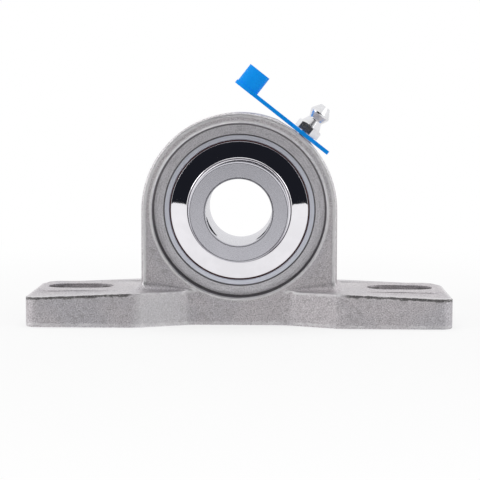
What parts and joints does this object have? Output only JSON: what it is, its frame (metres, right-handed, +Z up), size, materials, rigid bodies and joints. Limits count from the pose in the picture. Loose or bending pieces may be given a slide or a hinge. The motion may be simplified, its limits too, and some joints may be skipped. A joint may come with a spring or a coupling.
{
  "type": "pillow block bearing",
  "caption": "Cast foot-mounted housing with a self-aligning ball bearing insert, locking set screws, a grease nipple and a hinged dust cap on a strap.",
  "frame": {"origin": "middle of the base's underside, below the centre of the bearing", "axes": "+X along the base towards the grease nipple's side, +Y along the shaft from the locking side to the plain side, +Z up"},
  "size_m": [0.125, 0.038, 0.0758],
  "materials": {
    "cast_steel": "blasted cast stainless steel, machined at the seat",
    "ground_steel": "ground stainless steel",
    "ball_steel": "polished stainless steel",
    "pressed_steel": "pressed sheet steel",
    "polished_steel": "mirror polished stainless sheet",
    "seal_rubber": "red-brown moulded rubber",
    "screw_steel": "plain stainless steel",
    "plated_steel": "bright plated steel",
    "spring_steel": "drawn wire",
    "blue_plastic": "smooth moulded polyethylene"
  },
  "bodies": {
    "housing_body": {"housing": "cast_steel", "grease_nipple": "plated_steel", "nipple_spring": "spring_steel"},
    "outer_ring_body": {"outer_ring": "ground_steel", "front_seal_core": "pressed_steel", "front_seal_rubber": "seal_rubber", "rear_seal_core": "pressed_steel", "rear_seal_rubber": "seal_rubber"},
    "inner_ring_body": {"inner_ring": "ground_steel", "front_flinger": "polished_steel", "rear_flinger": "polished_steel"},
    "cage_body": {"cage_front_half": "pressed_steel", "cage_rear_half": "pressed_steel", "cage_rivets": "pressed_steel"},
    "ball_1_body": {"ball_1": "ball_steel"},
    "ball_2_body": {"ball_2": "ball_steel"},
    "ball_3_body": {"ball_3": "ball_steel"},
    "ball_4_body": {"ball_4": "ball_steel"},
    "ball_5_body": {"ball_5": "ball_steel"},
    "ball_6_body": {"ball_6": "ball_steel"},
    "ball_7_body": {"ball_7": "ball_steel"},
    "ball_8_body": {"ball_8": "ball_steel"},
    "set_screw_left_body": {"set_screw_left": "screw_steel"},
    "set_screw_right_body": {"set_screw_right": "screw_steel"},
    "check_ball_body": {"nipple_check_ball": "ball_steel"},
    "dust_cap_body": {"dust_cap": "blue_plastic"}
  },
  "joints": [
    {"name": "insert_tilt", "type": "hinge", "parent": "housing_body", "child": "outer_ring_body", "pos_m": [0, 0, 0.0333], "axis": [1, 0, 0], "range_deg": [-3, 3]},
    {"name": "inner_ring_spin", "type": "hinge", "parent": "outer_ring_body", "child": "inner_ring_body", "pos_m": [0, 0, 0.0333], "axis": [0, 1, 0], "continuous": true},
    {"name": "cage_spin", "type": "hinge", "parent": "outer_ring_body", "child": "cage_body", "pos_m": [0, 0, 0.0333], "axis": [0, 1, 0], "continuous": true},
    {"name": "ball_1_spin", "type": "hinge", "parent": "cage_body", "child": "ball_1_body", "pos_m": [0.01675, 0, 0.0333], "axis": [0, 1, 0], "continuous": true},
    {"name": "ball_2_spin", "type": "hinge", "parent": "cage_body", "child": "ball_2_body", "pos_m": [0.01184, 0, 0.02146], "axis": [0, 1, 0], "continuous": true},
    {"name": "ball_3_spin", "type": "hinge", "parent": "cage_body", "child": "ball_3_body", "pos_m": [0, 0, 0.01655], "axis": [0, 1, 0], "continuous": true},
    {"name": "ball_4_spin", "type": "hinge", "parent": "cage_body", "child": "ball_4_body", "pos_m": [-0.01184, 0, 0.02146], "axis": [0, 1, 0], "continuous": true},
    {"name": "ball_5_spin", "type": "hinge", "parent": "cage_body", "child": "ball_5_body", "pos_m": [-0.01675, 0, 0.0333], "axis": [0, 1, 0], "continuous": true},
    {"name": "ball_6_spin", "type": "hinge", "parent": "cage_body", "child": "ball_6_body", "pos_m": [-0.01184, 0, 0.04514], "axis": [0, 1, 0], "continuous": true},
    {"name": "ball_7_spin", "type": "hinge", "parent": "cage_body", "child": "ball_7_body", "pos_m": [0, 0, 0.05005], "axis": [0, 1, 0], "continuous": true},
    {"name": "ball_8_spin", "type": "hinge", "parent": "cage_body", "child": "ball_8_body", "pos_m": [0.01184, 0, 0.04514], "axis": [0, 1, 0], "continuous": true},
    {"name": "set_screw_left_travel", "type": "slide", "parent": "inner_ring_body", "child": "set_screw_left_body", "axis": [-0.8746, 0, -0.4848], "range_m": [-0.0004, 0.0015]},
    {"name": "set_screw_right_travel", "type": "slide", "parent": "inner_ring_body", "child": "set_screw_right_body", "axis": [0.7771, 0, -0.6293], "range_m": [-0.0004, 0.0015]},
    {"name": "check_ball_travel", "type": "slide", "parent": "housing_body", "child": "check_ball_body", "axis": [0.6157, 0, 0.788], "range_m": [-0.0012, 0], "stiffness_N_per_m": 200, "springref_m": 0.0004, "deforming": ["nipple_spring"]},
    {"name": "dust_cap_swivel", "type": "hinge", "parent": "housing_body", "child": "dust_cap_body", "pos_m": [0.00106, 0, 0.03247], "axis": [0.6157, 0, 0.788], "continuous": true}
  ],
  "couplings": [
    {"joint": "cage_spin", "follows": "inner_ring_spin", "ratio": 0.38152},
    {"joint": "ball_1_spin", "follows": "inner_ring_spin", "ratio": -1.9916},
    {"joint": "ball_2_spin", "follows": "inner_ring_spin", "ratio": -1.9916},
    {"joint": "ball_3_spin", "follows": "inner_ring_spin", "ratio": -1.9916},
    {"joint": "ball_4_spin", "follows": "inner_ring_spin", "ratio": -1.9916},
    {"joint": "ball_5_spin", "follows": "inner_ring_spin", "ratio": -1.9916},
    {"joint": "ball_6_spin", "follows": "inner_ring_spin", "ratio": -1.9916},
    {"joint": "ball_7_spin", "follows": "inner_ring_spin", "ratio": -1.9916},
    {"joint": "ball_8_spin", "follows": "inner_ring_spin", "ratio": -1.9916}
  ]
}
